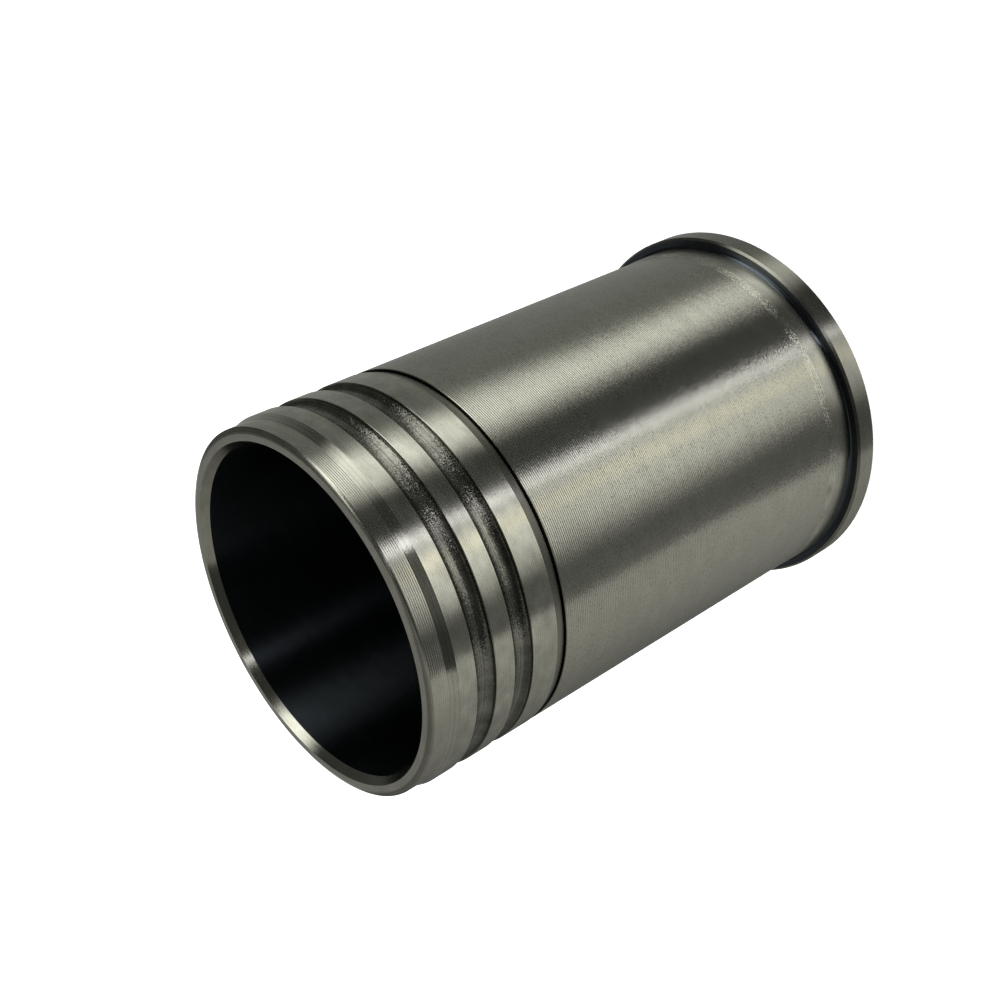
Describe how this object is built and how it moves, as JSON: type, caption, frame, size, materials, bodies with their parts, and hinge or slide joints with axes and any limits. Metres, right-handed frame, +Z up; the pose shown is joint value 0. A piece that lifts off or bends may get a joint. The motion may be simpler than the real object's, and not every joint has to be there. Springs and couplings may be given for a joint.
{
  "type": "cylinder liner",
  "caption": "Wet cylinder liner in cast iron: a flanged sleeve with a finished bore, ground seal lands with ring grooves, and a bevelled skirt end.",
  "frame": {"origin": "centre of the flange face, the flat face that the liner stands on", "axes": "+Z runs up the bore axis from the flange face to the skirt end; X and Y are any two directions square to it, because the liner is round"},
  "size_m": [0.1198, 0.1198, 0.1784],
  "materials": {
    "liner_iron": "fine turned outside, ground lands, dark finished bore"
  },
  "bodies": {
    "root": {"cylinder_liner": "liner_iron"}
  },
  "joints": []
}
